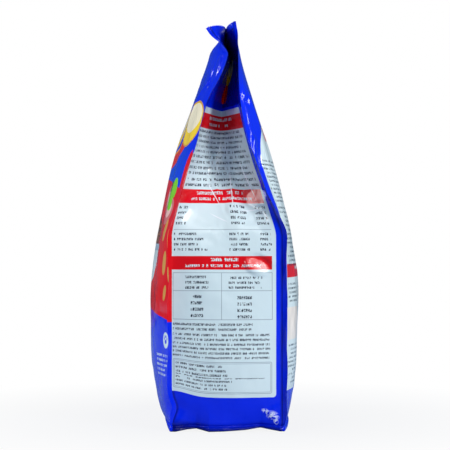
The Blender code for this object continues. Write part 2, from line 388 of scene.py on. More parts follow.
def solve(length_of, film, low, high):
    """The size between low and high at which a growing length reaches the film's."""
    for _ in range(HALVINGS):
        middle = (low + high) / 2
        if length_of(middle) < film:
            low = middle
        else:
            high = middle
    return (low + high) / 2


def spread(x, y, cuts):
    """Points at the given shares of a curve's length."""
    lengths = np.concatenate(([0.0], np.cumsum(np.hypot(np.diff(x), np.diff(y)))))
    places = cuts * lengths[-1]
    return np.column_stack((np.interp(places, lengths, x), np.interp(places, lengths, y)))


class Section:
    """The bag's outline at one height."""

    def __init__(self, height):
        neck = limit((height - FILL_HEIGHT) / (MOUTH_HEIGHT - FILL_HEIGHT))
        neck = neck * neck * (1 + NECK_SOFTNESS) / (neck + NECK_SOFTNESS)
        top = ease((height - MOUTH_HEIGHT) / MOUTH_DROP)
        curled = limit((height - MOUTH_HEIGHT) / MOUTH_DROP) ** CURL_GROWTH
        self.droop = FRONT_FLAG_DROOP * top
        self.sealed = ease(1 - (WELD_BOTTOM - height) / WELD_CLOSING)
        closing = limit((WELD_BOTTOM - height) / WELD_CLOSING)

        draw = BACK_DRAW * ease((height - FILL_HEIGHT) / BACK_DRAW_RISE)
        gap = blend(SIDE_DEPTH, MOUTH_GAP, neck + NECK_SAG * neck * (1 - neck)) - draw
        lean = NECK_LEAN * (ease((neck - LEAN_START) / (1 - LEAN_START)) - np.sin(np.pi * neck) / 2)
        middle = lean * (1 - top) - draw / 2
        self.corner = {}
        for end, curl in ((NEAR, 1.0), (FAR, FAR_FLAG_SHARE)):
            self.corner[end, FRONT] = middle - gap / 2 - FRONT_FLAG_CURL * curl * curled
            self.corner[end, BACK] = middle + gap / 2 + BACK_FLAG_CURL * curl * top

        half_belly = BELLY_DEPTH / 2 * profile(BELLY_PROFILE, height / HEIGHT)
        shut = np.sqrt(closing * (2 - closing))
        self.belly = {
            FRONT: half_belly * shut - FRONT_BASE_TUCK * hump(height, FRONT_TUCK_HEIGHT),
            BACK: (half_belly - draw) * shut}
        self.panel_power = blend(FULL_ROUNDNESS, NECK_ROUNDNESS, neck)
        rise = max(half_belly * shut - gap / 2, 0.0)
        self.half_width = solve(
            lambda span: arch_length(span, rise, self.panel_power),
            PANEL_WIDTH, PANEL_WIDTH / 2, PANEL_WIDTH) / 2

        tucked = ease((height - TUCK_BOTTOM) / TUCK_ONSET)
        floor = blend(FULL_ROUNDNESS, NECK_ROUNDNESS, ease(neck / CREASE_START))
        creased = ease((neck - CREASE_START) / CREASE_RUN)
        self.gusset_power = blend(floor, CREASE_ROUNDNESS, creased)
        depth = solve(
            lambda size: arch_length(gap, size, self.gusset_power),
            GUSSET_WIDTH, 0.0, GUSSET_WIDTH)
        lift = limit((height + BULGE_AT_BASE) / (FILL_HEIGHT + BULGE_AT_BASE))
        self.gusset_out = blend(GUSSET_BULGE * np.sin(np.pi * lift), -depth, tucked)
        self.crease = self.half_width * (1 - GUSSET_WIDTH / PANEL_WIDTH)
        self.flag_reach = self.half_width - self.crease
        self.half_weld = 0.0 if height > HEIGHT - CUT_EDGE / 2 else WELD_THICKNESS / 2

    def flag(self, end, side, x):
        """Where a flag of the top weld lies in Y, at a distance from the bag's middle."""
        run = limit((x - self.crease) / self.flag_reach)
        return blend(side * self.half_weld, self.corner[end, side], run ** FLAG_ROUNDNESS)

    def panel(self, side):
        """Points on the front or back film, from the far corner to the near one."""
        t = np.linspace(-1.0, 1.0, CURVE_STEPS + 1)
        corner = np.where(t < 0, self.corner[FAR, side], self.corner[NEAR, side])
        y = blend(side * self.belly[side], corner, np.abs(t) ** self.panel_power)
        full = spread(t * self.half_width, y, PANEL_CUTS)
        x = (2 * PANEL_CUTS - 1) * self.half_width
        y = np.where(x < 0, self.flag(FAR, side, -x), self.flag(NEAR, side, x))
        return blend(full, np.column_stack((x, y)), self.sealed)

    def gusset(self, end):
        """Points on a side film, from its front corner to its back one."""
        s = np.linspace(-1.0, 1.0, CURVE_STEPS + 1)
        x = self.half_width + self.gusset_out * (1 - np.abs(s) ** self.gusset_power)
        y = blend(self.corner[end, FRONT], self.corner[end, BACK], (s + 1) / 2)
        full = spread(end * x, y, GUSSET_CUTS)
        x = blend(self.crease, self.half_width, np.abs(2 * GUSSET_CUTS - 1))
        front = GUSSET_CUTS < 0.5
        y = np.where(front, self.flag(end, FRONT, x), self.flag(end, BACK, x))
        y[FLAG_COLUMNS] = 0.0
        return blend(full, np.column_stack((end * x, y)), self.sealed)


def outline(height):
    """The closed outline at one height, counterclockwise from the far front corner."""
    section = Section(height)
    walls = [
        section.panel(FRONT),
        section.gusset(NEAR),
        section.panel(BACK)[::-1],
        section.gusset(FAR)[::-1],
    ]
    thickness = section.half_weld
    fin = CORNER_FIN * blend(FIN_AT_BASE, 1.0, ease(height / FIN_RUN_OUT))
    fins = []
    for wall, following in zip(walls, walls[1:] + walls[:1]):
        corner = (wall[-1] + following[0]) / 2
        along = unit(unit(wall[-1] - wall[-2]) + unit(following[0] - following[1]))
        across = np.array((-along[1], along[0])) * thickness
        fins.append((corner, corner + along * fin, across))
    points = []
    for place, wall in enumerate(walls):
        out = np.zeros_like(wall)
        if place % 2 == 0:
            out[:, 1] = thickness * (FRONT if place == 0 else BACK)
        else:
            off = wall[FLAG_COLUMNS, 1] - wall[:, 1]
            out[:, 1] = np.clip(off / 2, -thickness, thickness)
        faces = wall + out
        faces[0] = fins[place - 1][0] + fins[place - 1][2]
        faces[-1] = fins[place][0] - fins[place][2]
        points.extend(faces)
        points.append(fins[place][1])
    points = np.array(points)
    run = np.clip((np.abs(points[:, 0]) - section.crease) / section.flag_reach, 0.0, None)
    front = points[:, 1] < section.flag(NEAR, BACK, 0.0)
    return np.column_stack((points, height - section.droop * run ** 4 * front))


def row_heights():
    """Heights of the grid's rows: close at the rim and the weld, even between them."""
    rim = RIM_HEIGHT * np.array((0.0, 0.06, 0.2, 0.45, 0.5, 0.55, 0.8, 0.94))
    groove = RIM_HEIGHT + RIM_GROOVE * np.array((0.0, 0.5, 1.0, 2.0))
    body = np.arange(groove[-1] + ROW_STEP, WELD_BOTTOM - WELD_CLOSING, ROW_STEP)
    closing = np.linspace(WELD_BOTTOM - WELD_CLOSING, WELD_BOTTOM, 9)
    weld = np.linspace(WELD_BOTTOM, HEIGHT - CUT_EDGE, 6)[1:]
    return np.concatenate((rim, groove, body, closing, weld, (HEIGHT,)))


def film_places():
    """Wall, and place across it in metres, of each column of the ring."""
    panel = PANEL_CUTS * PANEL_WIDTH
    gusset = GUSSET_CUTS * GUSSET_WIDTH
    widths = (panel, gusset, panel[::-1], gusset[::-1])
    walls, across = [], []
    for wall, places in enumerate(widths):
        walls.extend([wall] * len(places) + [-1 - wall])
        across.extend(np.append(places, places[-1]))
    return np.array(walls), np.array(across)


def rim_profile(heights):
    """How far the rim stands proud of the film, row by row."""
    up = heights / RIM_HEIGHT
    bead = RIM_PROUD * limit(1 - np.abs(2 * up - 1) ** RIM_SQUARENESS)
    stitch = STITCH_SHARE * RIM_PROUD * hump(up - 0.5, STITCH_WIDTH)
    groove = RIM_GROOVE * hump(heights - RIM_HEIGHT - RIM_GROOVE / 2, RIM_GROOVE)
    return bead - stitch - groove


def normals(points):
    """Outward directions at the points of the closed film, row by row."""
    around = np.roll(points, -1, axis=1) - np.roll(points, 1, axis=1)
    up = np.gradient(points, axis=0)
    out = np.cross(around, up)
    return out / np.maximum(np.linalg.norm(out, axis=2, keepdims=True), 1e-12)


def distance_to_path(place, height, path):
    """How far points lie from a path, and how far along it, from 0 to 1."""
    nearest = np.full(place.shape, np.inf)
    along = np.zeros(place.shape)
    legs = len(path) - 1
    for leg, (start, end) in enumerate(zip(path, path[1:])):
        run, rise = end[0] - start[0], end[1] - start[1]
        share = ((place - start[0]) * run + (height - start[1]) * rise) / (run ** 2 + rise ** 2)
        share = limit(share)
        far = np.hypot(place - start[0] - share * run, height - start[1] - share * rise)
        along = np.where(far < nearest, (leg + share) / legs, along)
        nearest = np.minimum(nearest, far)
    return nearest, along


def folds(slot, place, height):
    """The sharp folds of one film."""
    stand = np.zeros(place.shape)
    for film, path, depth, width in FOLDS:
        if film == slot:
            far, along = distance_to_path(place, height, path)
            along = np.clip(along, FOLD_END, 1 - FOLD_END)
            stand += depth * np.sin(np.pi * along) * np.exp(-far / width)
    return stand


def inside_oval(off, up, halves, turn):
    """1 inside a turned oval, fading to 0 over the width of a facet's edge."""
    over = math.cos(turn) * off + math.sin(turn) * up
    rise = math.cos(turn) * up - math.sin(turn) * off
    away = np.hypot(over / halves[0], rise / halves[1])
    return 1 - ease((away - 1) * min(halves) / FACET_EDGE)


def facets(slot, place, height):
    """The flat facets of one film."""
    stand = np.zeros(place.shape)
    for film, (middle, level), halves, turn, lean_across, lean_up in FACETS:
        if film == slot:
            off, up = place - middle, height - level
            stand += (lean_across * off + lean_up * up) * inside_oval(off, up, halves, turn)
    return stand


def pull_taut(points, near):
    """Pull patches of the near film flat, each round its own mean depth."""
    for (middle, level), halves, turn, slope_across, slope_up in TAUT_PATCHES:
        off, up = points[:, near, 1] - middle, points[:, near, 2] - level
        share = inside_oval(off, up, halves, turn)
        flat = slope_across * off + slope_up * up
        flat += np.average(points[:, near, 0] - flat, weights=share)
        points[:, near, 0] = blend(points[:, near, 0], flat, share)


def soft_waves(slot, across, heights):
    """Lumps of kibble where the bag is full, and loose waves of film above."""
    stand = np.zeros((len(heights), len(across)))
    for row, height in enumerate(heights):
        full = 1 - ease((height - LOOSE_BOTTOM) / LOOSE_ONSET)
        for column, place in enumerate(across):
            lump, swell, loose = (
                noise.noise(Vector((place / wide, height / high, seed))) for (wide, high), seed
                in zip(WAVE_SIZES, (5.0 * slot, 9.0 * slot, 3.0 + 7.0 * slot)))
            stand[row, column] = full * (LUMP_DEPTH * lump + SWELL_DEPTH * swell)
            stand[row, column] += (1 - full) * LOOSE_DEPTH * loose
    return stand


def wave_rim(points):
    """Bend the rim of the near side in and out, and lift it off the floor in places."""
    places, stand, lift = np.array(RIM_WAVE).T
    near = points[:, :, 0] > NEAR_SIDE
    low = limit(1 - points[:, :, 2] / RIM_WAVE_TOP) ** RIM_WAVE_FADE
    points[:, :, 0] += near * low * np.interp(points[:, :, 1], places, stand)
    points[:, :, 2] += near * low ** 3 * np.interp(points[:, :, 1], places, lift)


def dent_corner(points):
    """Push the near front corner in, just above the base."""
    corner = points[:, [len(PANEL_CUTS) - 1], :]
    far = np.linalg.norm(points[:, :, :2] - corner[:, :, :2], axis=2)
    push = CORNER_DENT * hump(points[:, :, 2] - DENT_HEIGHT, DENT_SIZE) * hump(far, DENT_REACH)
    points[:, :, 0] -= DENT_SLANT * push
    points[:, :, 1] += push


def film_points(heights):
    points = np.array([outline(height) for height in heights])
    walls, across = film_places()
    out = normals(points)
    keep_rows = ease((heights - WAVES_BOTTOM) / WAVES_ONSET)
    keep_rows *= 1 - ease((heights - WAVES_TOP) / WAVES_FADE)
    for wall, slot in enumerate(WALL_SLOTS):
        here = walls == wall
        view = 0 if wall % 2 == 0 else 1
        stand = soft_waves(slot, across[here], heights)
        share = limit(across[here] / WALL_WIDTHS[wall])
        keep = keep_rows[:, None] * np.sqrt(np.sin(np.pi * share))[None, :]
        places, levels = points[:, here, view], points[:, here, 2]
        stand = stand * keep + folds(slot, places, levels) + facets(slot, places, levels)
        points[:, here] += out[:, here] * stand[:, :, None]
    pull_taut(points, np.flatnonzero(walls == 1))
    flat = out * (1.0, 1.0, 0.0)
    points += flat * rim_profile(heights)[:, None, None]
    for fin, phase in FIN_PHASES:
        here = np.flatnonzero(walls == fin)[0]
        along = points[:, here] - points[:, here - 1]
        sway = FIN_SWAY * np.sin(heights / FIN_WAVE + phase) * ease(heights / FIN_WAVE_ONSET)
        points[:, here, 0] -= along[:, 1] * sway
        points[:, here, 1] += along[:, 0] * sway
    wave_rim(points)
    dent_corner(points)
    firsts = [np.flatnonzero(walls == wall)[0] for wall in range(4)]
    for first, cuts in zip(firsts, (PANEL_CUTS, GUSSET_CUTS, PANEL_CUTS, GUSSET_CUTS)):
        odd = np.arange(first + 1, first + len(cuts) + 1, 2)
        points[-2:, odd, 2] -= TOOTH_DEPTH
    return points


def as_mesh(bm, name):
    mesh = bpy.data.meshes.new(name)
    bm.to_mesh(mesh)
    bm.free()
    return mesh


def film_mesh():
    """The whole film as one closed skin: a flat grid folded up row by row."""
    heights = row_heights()
    points = film_points(heights)
    rows, columns = points.shape[:2]
    walls, across = film_places()
    sag, sag_width, sag_level, sag_height = LABEL_SAG

    bm = bmesh.new()
    bmesh.ops.create_grid(bm, x_segments=columns, y_segments=rows - 1, size=1.0)
    uv = bm.loops.layers.uv.new("film")
    bm.verts.ensure_lookup_table()
    for index, vert in enumerate(bm.verts):
        row, column = divmod(index, columns + 1)
        vert.co = points[row, column % columns]
    for face in bm.faces:
        places = [divmod(vert.index, columns + 1) for vert in face.verts]
        column = min(place[1] for place in places)
        here, ahead = walls[column], walls[(column + 1) % columns]
        on_wall = here == ahead
        side = here if here >= 0 else -1 - here
        slot = WALL_SLOTS[side] if on_wall else FIN_SLOTS[side]
        if heights[min(place[0] for place in places) + 1] < FOOT_TOP:
            slot = FOOT_SLOTS.get(slot, slot)
        face.material_index = slot
        face.smooth = True
        for loop, (row, place) in zip(face.loops, places):
            over, up = across[place % columns], heights[row]
            if side == 1:
                up -= sag * hump(over, sag_width) * hump(up - sag_level, sag_height)
            loop[uv].uv = (over, up)
    bmesh.ops.remove_doubles(bm, verts=bm.verts, dist=MERGE_DISTANCE)
    rim_edges = [edge for edge in bm.edges if edge.is_boundary]
    base = bmesh.ops.contextual_create(bm, geom=rim_edges)["faces"]
    bm.normal_update()
    bmesh.ops.reverse_faces(bm, faces=[face for face in base if face.normal.z > 0])
    for face in base:
        face.material_index = BASE_FILM
    bmesh.ops.inset_region(bm, faces=base)
    for vert in base[0].verts:
        vert.co *= Vector((*BASE_PANEL, 1.0))
        vert.co.z = max(vert.co.z, BASE_RECESS)
    mesh = as_mesh(bm, "film")
    mesh.set_sharp_from_angle(angle=SHARP_ANGLE)
    return mesh


def feed(tree, socket, value):
    """Link a socket to another, or give it a plain value."""
    if isinstance(value, bpy.types.NodeSocket):
        tree.links.new(value, socket)
    else:
        socket.default_value = value


def new_node(tree, kind, **given):
    """A shader node with its named inputs fed."""
    node = tree.nodes.new("ShaderNode" + kind)
    for label, value in given.items():
        feed(tree, node.inputs[label], value)
    return node


def maths(operation, tree, *values, clamp=False):
    node = new_node(tree, "Math")
    node.operation = operation
    node.use_clamp = clamp
    for socket, value in zip(node.inputs, values):
        feed(tree, socket, value)
    return node.outputs["Value"]


plus, minus, times, ratio, larger, absolute, whole = (
    partial(maths, operation) for operation in
    ("ADD", "SUBTRACT", "MULTIPLY", "DIVIDE", "MAXIMUM", "ABSOLUTE", "FLOOR"))


def vectors(tree, operation, *values):
    node = new_node(tree, "VectorMath")
    node.operation = operation
    for socket, value in zip(node.inputs, values):
        feed(tree, socket, value)
    return node.outputs["Value" if operation == "LENGTH" else "Vector"]


def apart(tree, vector):
    return new_node(tree, "SeparateXYZ", Vector=vector).outputs


def chance(tree, x, y):
    """A value from 0 to 1 that is the same all over one whole-numbered place."""
    place = new_node(tree, "CombineXYZ", X=x, Y=y).outputs["Vector"]
    node = new_node(tree, "TexWhiteNoise", Vector=place)
    node.noise_dimensions = "2D"
    return node.outputs["Value"]


def cloud(tree, place, scale, detail=2.0):
    return new_node(tree, "TexNoise", Vector=place, Scale=scale, Detail=detail).outputs["Fac"]


def ridges(tree, place, scale, sharpness):
    """Thin lines where a cloud passes through its middle value."""
    off = absolute(tree, minus(tree, cloud(tree, place, scale, 3.0), 0.5))
    return minus(tree, 1.0, times(tree, off, sharpness), clamp=True)


def colour_mix(tree, mask, under, over):
    node = new_node(tree, "Mix")
    node.data_type = "RGBA"
    feed(tree, node.inputs[0], mask)
    feed(tree, node.inputs[6], under)
    feed(tree, node.inputs[7], over)
    return node.outputs[2]


def new_group(name, places, sizes, made):
    """A node group with named inputs and outputs, and the sockets at both of its ends."""
    tree = bpy.data.node_groups.new(name, "ShaderNodeTree")
    for labels, end, kind in ((places, "INPUT", "Vector"), (sizes, "INPUT", "Float"),
                              (made, "OUTPUT", "Float")):
        for label in labels.split():
            tree.interface.new_socket(label, in_out=end, socket_type="NodeSocket" + kind)
    entry = tree.nodes.new("NodeGroupInput")
    leave = tree.nodes.new("NodeGroupOutput")
    return tree, entry.outputs, leave.inputs


def printed_box_group():
    """A box with rounded corners, and the thin line round its edge."""
    tree, given, made = new_group("printed_box", "Place Centre Half", "Radius Line", "Fill Edge")
    away = vectors(tree, "ABSOLUTE", vectors(tree, "SUBTRACT", given["Place"], given["Centre"]))
    away = vectors(tree, "SUBTRACT", away, given["Half"])
    away = vectors(tree, "ADD", away, given["Radius"])
    x, y, _ = apart(tree, away)
    outside = vectors(tree, "LENGTH", vectors(tree, "MAXIMUM", away, (0.0, 0.0, 0.0)))
    inside = maths("MINIMUM", tree, larger(tree, x, y), 0.0)
    distance = minus(tree, plus(tree, outside, inside), given["Radius"])
    fill = minus(tree, 0.5, ratio(tree, distance, INK_EDGE), clamp=True)
    feed(tree, made["Fill"], fill)
    half_line = times(tree, given["Line"], 0.5)
    off_line = absolute(tree, plus(tree, distance, half_line))
    off_line = minus(tree, off_line, half_line)
    edge = minus(tree, 0.5, ratio(tree, off_line, INK_EDGE), clamp=True)
    feed(tree, made["Edge"], edge)
    return tree


def printed_oval_group():
    """A turned oval, and how deep inside it a place lies."""
    tree, given, made = new_group("printed_oval", "Place Centre Half", "Turn Sharp", "Fill Depth")
    off = vectors(tree, "SUBTRACT", given["Place"], given["Centre"])
    turn = new_node(tree, "VectorRotate", Vector=off, Angle=given["Turn"])
    turn.rotation_type = "Z_AXIS"
    away = vectors(tree, "DIVIDE", turn.outputs["Vector"], given["Half"])
    depth = minus(tree, 1.0, vectors(tree, "LENGTH", away))
    feed(tree, made["Fill"], times(tree, depth, given["Sharp"], clamp=True))
    feed(tree, made["Depth"], larger(tree, depth, 0.0))
    return tree


def small_print_group():
    """Rows of small dark marks that read as print too small to make out."""
    tree, given, made = new_group(
        "small_print", "Place", "Left Right Top Pitch Rows Letter Ragged Seed", "Ink")
    x, y, _ = apart(tree, given["Place"])
    down = ratio(tree, minus(tree, given["Top"], y), given["Pitch"])
    row = whole(tree, down)
    part = minus(tree, down, row)
    seeded = plus(tree, times(tree, row, ROW_SEED_STEP), given["Seed"])
    along = ratio(tree, minus(tree, x, given["Left"]), given["Letter"])
    letter = whole(tree, along)
    in_letter = minus(tree, along, letter)
    short = times(tree, chance(tree, seeded, 3.0), given["Ragged"])
    stroke = whole(tree, times(tree, along, STROKES_ACROSS))
    level = plus(tree, seeded, whole(tree, times(tree, part, STROKES_UP)))
    marks = (
        ("GREATER_THAN", down, 0.0),
        ("LESS_THAN", down, given["Rows"]),
        ("GREATER_THAN", x, given["Left"]),
        ("LESS_THAN", x, minus(tree, given["Right"], short)),
        ("COMPARE", part, MARK_MIDDLE, MARK_HALF),
        ("LESS_THAN", in_letter, MARK_WIDTH),
        ("GREATER_THAN", chance(tree, letter, seeded), WORD_GAPS),
        ("GREATER_THAN", chance(tree, stroke, level), STROKE_GAPS),
    )
    inked = None
    for operation, *values in marks:
        mark = maths(operation, tree, *values)
        inked = mark if inked is None else times(tree, inked, mark)
    feed(tree, made["Ink"], inked)
    return tree


def film_surface_group():
    """The film's small creases, the ribs of the top weld, and its uneven gloss."""
    tree, given, made = new_group("film_surface", "Place Film", "", "Height Roughness")
    place = given["Place"]
    _, _, up = apart(tree, place)
    _, height, _ = apart(tree, given["Film"])
    stretched = vectors(tree, "MULTIPLY", place, CREASE_STRETCH)
    crease = ridges(tree, stretched, CREASE_SCALE, CREASE_SHARPNESS)
    loose = ratio(tree, minus(tree, up, CREASES_BOTTOM), CREASES_ONSET, clamp=True)
    depth = plus(tree, CREASE_DEPTH, times(tree, loose, LOOSE_CREASE_DEPTH))
    total = times(tree, crease, depth)
    for scale, detail, stands in LUMPS_AND_GRAIN:
        total = plus(tree, total, times(tree, cloud(tree, place, scale, detail), stands))
    wave = maths("SINE", tree, times(tree, height, 2 * math.pi / WELD_RIB_PITCH))
    welded = maths("GREATER_THAN", tree, height, WELD_BOTTOM)
    ribs = times(tree, times(tree, wave, welded), WELD_RIB_DEPTH)
    feed(tree, made["Height"], plus(tree, total, ribs))
    dull = cloud(tree, place, ROUGHNESS_SCALE, 4.0)
    feed(tree, made["Roughness"], maths("MULTIPLY_ADD", tree, dull, *ROUGHNESS))
    return tree


class Print:
    """Fields of colour laid over each other on a film."""

    def __init__(self, tree, film, ground):
        self.tree = tree
        self.film = film
        self.colour = ground

    def cover(self, mask, colour):
        self.colour = colour_mix(self.tree, mask, self.colour, colour)

    def group(self, kind, **values):
        node = new_node(self.tree, "Group")
        node.node_tree = kind
        for label, value in (("Place", self.film), *values.items()):
            feed(self.tree, node.inputs[label], value)
        return node.outputs

    def box(self, left, right, bottom, top, radius=0.0002, line=0.0003, part="Fill"):
        return self.group(
            PRINTED_BOX, Centre=((left + right) / 2, (bottom + top) / 2, 0.0),
            Half=((right - left) / 2, (top - bottom) / 2, 1.0), Radius=radius, Line=line)[part]

    def oval(self, x, y, half_x, half_y, turn=0.0, part="Fill"):
        return self.group(
            PRINTED_OVAL, Centre=(x, y, 0.0), Half=(half_x, half_y, 1.0), Turn=turn,
            Sharp=min(half_x, half_y) / INK_EDGE)[part]

    def rows(self, left, right, top, pitch, rows, letter, ragged=0.0, seed=1.0):
        return self.group(
            SMALL_PRINT, Left=left, Right=right, Top=top, Pitch=pitch, Rows=float(rows),
            Letter=letter, Ragged=ragged, Seed=seed)["Ink"]

    def most(self, masks):
        """The masks laid together; each is made only when the last has been added."""
        total = None
        for mask in masks:
            total = mask if total is None else larger(self.tree, total, mask)
        return total

    def blocks(self, places, seed, step, colour):
        """Blocks of small print, each with marks of its own."""
        self.cover(self.most(self.rows(*place, seed=seed + step * number)
                             for number, place in enumerate(places)), colour)

    def beyond(self, level, bend):
        """Everything above a line that bends down towards the panel's edges."""
        x, y, _ = apart(self.tree, self.film)
        off = minus(self.tree, x, PANEL_WIDTH / 2)
        line = maths("MULTIPLY_ADD", self.tree, times(self.tree, off, off), bend, level)
        above = ratio(self.tree, minus(self.tree, y, line), INK_EDGE)
        return plus(self.tree, above, 0.5, clamp=True)


def gusset_label(tree, film):
    """The pale label on a side film, with a blue margin round three of its sides, and painted shade
    along the film's corners and towards its base.
    """
    sheet = Print(tree, film, FILM_BLUE)
    x, y, _ = apart(tree, film)
    # Painted shade: the film darker along its corners and towards its base
    inwards = minus(tree, HALF_GUSSET, absolute(tree, minus(tree, x, HALF_GUSSET)))
    corner_shade = minus(tree, 1.0, ratio(tree, inwards, CORNER_SHADE_WIDTH), clamp=True)
    rim = minus(tree, 1.0, ratio(tree, y, RIM_SHADE_TOP), clamp=True)
    sheet.cover(larger(tree, corner_shade, rim), SEAM_AND_SHADE_BLUE)
    sheet.cover(sheet.box(-0.02, 0.11, 0.035, 0.333, 0.003), LABEL_WHITE)
    return sheet


def gusset_top_print(tree, film, seed):
    """The label's upper part: three red bands, rows of small print between them, painted highlights
    along creases, painted shade in the tuck's back half, and an emblem.
    """
    sheet = gusset_label(tree, film)
    cover, oval, box = sheet.cover, sheet.oval, sheet.box
    bands = ((0.11, 0.312, 0.327), (0.1062, 0.234, 0.2485), (0.1058, 0.1657, 0.1796))
    cover(sheet.most(box(-0.02, *place) for place in bands), BAND_RED)
    titles = (
        (0.024, 0.082, 0.3262, 0.0068, 1, 0.0026), (0.03, 0.07, 0.3196, 0.006, 1, 0.0024),
        (0.026, 0.08, 0.2476, 0.0066, 1, 0.0024), (0.018, 0.09, 0.2412, 0.0058, 1, 0.0021),
        (0.036, 0.07, 0.179, 0.0068, 1, 0.0024), (0.012, 0.094, 0.1722, 0.0056, 1, 0.0022),
    )
    sheet.blocks(titles, seed, 1.0, LABEL_WHITE)
    blocks = (
        (0.001, 0.104, 0.3112, 0.0051, 5, 0.0017, 0.018),
        (0.001, 0.107, 0.2856, 0.0058, 4, 0.0019, 0.01),
        (0.002, 0.106, 0.2616, 0.0058, 2, 0.0026, 0.004),
        (0.002, 0.016, 0.2322, 0.0055, 4, 0.0019, 0.006),
        (0.064, 0.084, 0.2322, 0.0055, 4, 0.0019, 0.003),
        (0.0925, 0.1062, 0.2322, 0.0055, 4, 0.0022, 0.003),
        (0.002, 0.038, 0.2046, 0.0053, 4, 0.0017, 0.012),
        (0.061, 0.083, 0.2046, 0.0053, 4, 0.0017, 0.002),
        (0.0935, 0.1065, 0.2046, 0.0053, 4, 0.0022, 0.002),
    )
    sheet.blocks(blocks, seed, SEED_STEP, SMALL_INK)
    cover(box(0.001, 0.106, 0.2066, 0.207), LINE_INK)
    # Painted highlights: pale lines along sharp creases
    cover(sheet.most(oval(x, y, reach, CREASE_HIGHLIGHT_WIDTH, turn)
                     for x, y, reach, turn in CREASE_HIGHLIGHTS), HIGHLIGHT_WHITE)
    # Painted shade: a darker field over the back half of the tuck at the top
    cover(box(HALF_GUSSET, 0.114, 0.336, 0.4135, 0.001), POCKET_PAINTED_SHADE)
    cover(oval(0.061, 0.352, 0.007, 0.012, 0.2), RIBBON_RED)
    cover(oval(0.064, 0.373, 0.012, 0.014), YELLOW)
    cover(oval(0.064, 0.377, 0.01, 0.0085), CREAM)
    return sheet.colour


def gusset_foot_print(tree, film, seed):
    """The label's lower part: a table, rows of small print, a framed box, and painted glints on
    crumpled film.
    """
    sheet = gusset_label(tree, film)
    blocks = (
        (0.014, 0.04, 0.1606, 0.0054, 3, 0.0017, 0.004),
        (0.06, 0.096, 0.1596, 0.005, 3, 0.0017, 0.004),
        (0.02, 0.034, 0.1412, 0.0065, 4, 0.0022, 0.003),
        (0.069, 0.086, 0.14, 0.0065, 4, 0.0022, 0.002),
        (0.001, 0.086, 0.1118, 0.005, 2, 0.0014, 0.006),
        (0.001, 0.104, 0.101, 0.0048, 2, 0.0015, 0.002),
        (0.001, 0.104, 0.0912, 0.0045, 3, 0.0015, 0.003),
        (0.001, 0.103, 0.0774, 0.0042, 1, 0.0018, 0.002),
        (0.004, 0.06, 0.0688, 0.0046, 3, 0.0017, 0.018),
        (0.004, 0.098, 0.0556, 0.0024, 1, 0.003, 0.002),
        (0.004, 0.074, 0.0532, 0.004, 3, 0.0015, 0.022),
    )
    sheet.blocks(blocks, seed, SEED_STEP, SMALL_INK)
    lines = (
        (0.001, 0.106, 0.1144, 0.1627, 0.0004, 0.0004), (0.001, 0.106, 0.1439, 0.1443),
        (0.0518, 0.0522, 0.1144, 0.1627), (0.001, 0.1055, 0.0389, 0.0712, 0.002, 0.0004),
        (0.0024, 0.1041, 0.0403, 0.0698, 0.0012, 0.0003),
    )
    sheet.cover(sheet.most(sheet.box(*place, part="Edge") for place in lines), LINE_INK)
    # Painted glints: pale lines over the crumpled patches
    patch = sheet.most(sheet.oval(*place, part="Depth") for place in CRUMPLE_GLINTS)
    patch = times(tree, patch, GLINT_STRENGTH, clamp=True)
    ridge = ridges(tree, film, GLINT_SCALE, GLINT_SHARPNESS)
    sheet.cover(times(tree, ridge, patch), HIGHLIGHT_WHITE)
    return sheet.colour


def paw(sheet, x, y, size):
    """A plain paw: a pad and four toes."""
    ovals = ((-0.62, 0.24, 0.2, 0.26, -0.5), (-0.23, 0.56, 0.2, 0.26, -0.15),
             (0.23, 0.56, 0.2, 0.26, 0.15), (0.62, 0.24, 0.2, 0.26, 0.5),
             (0.0, -0.22, 0.46, 0.36, 0.0))
    return sheet.most(
        sheet.oval(x + size * across, y + size * up, size * half_x, size * half_y, turn)
        for across, up, half_x, half_y, turn in ovals)


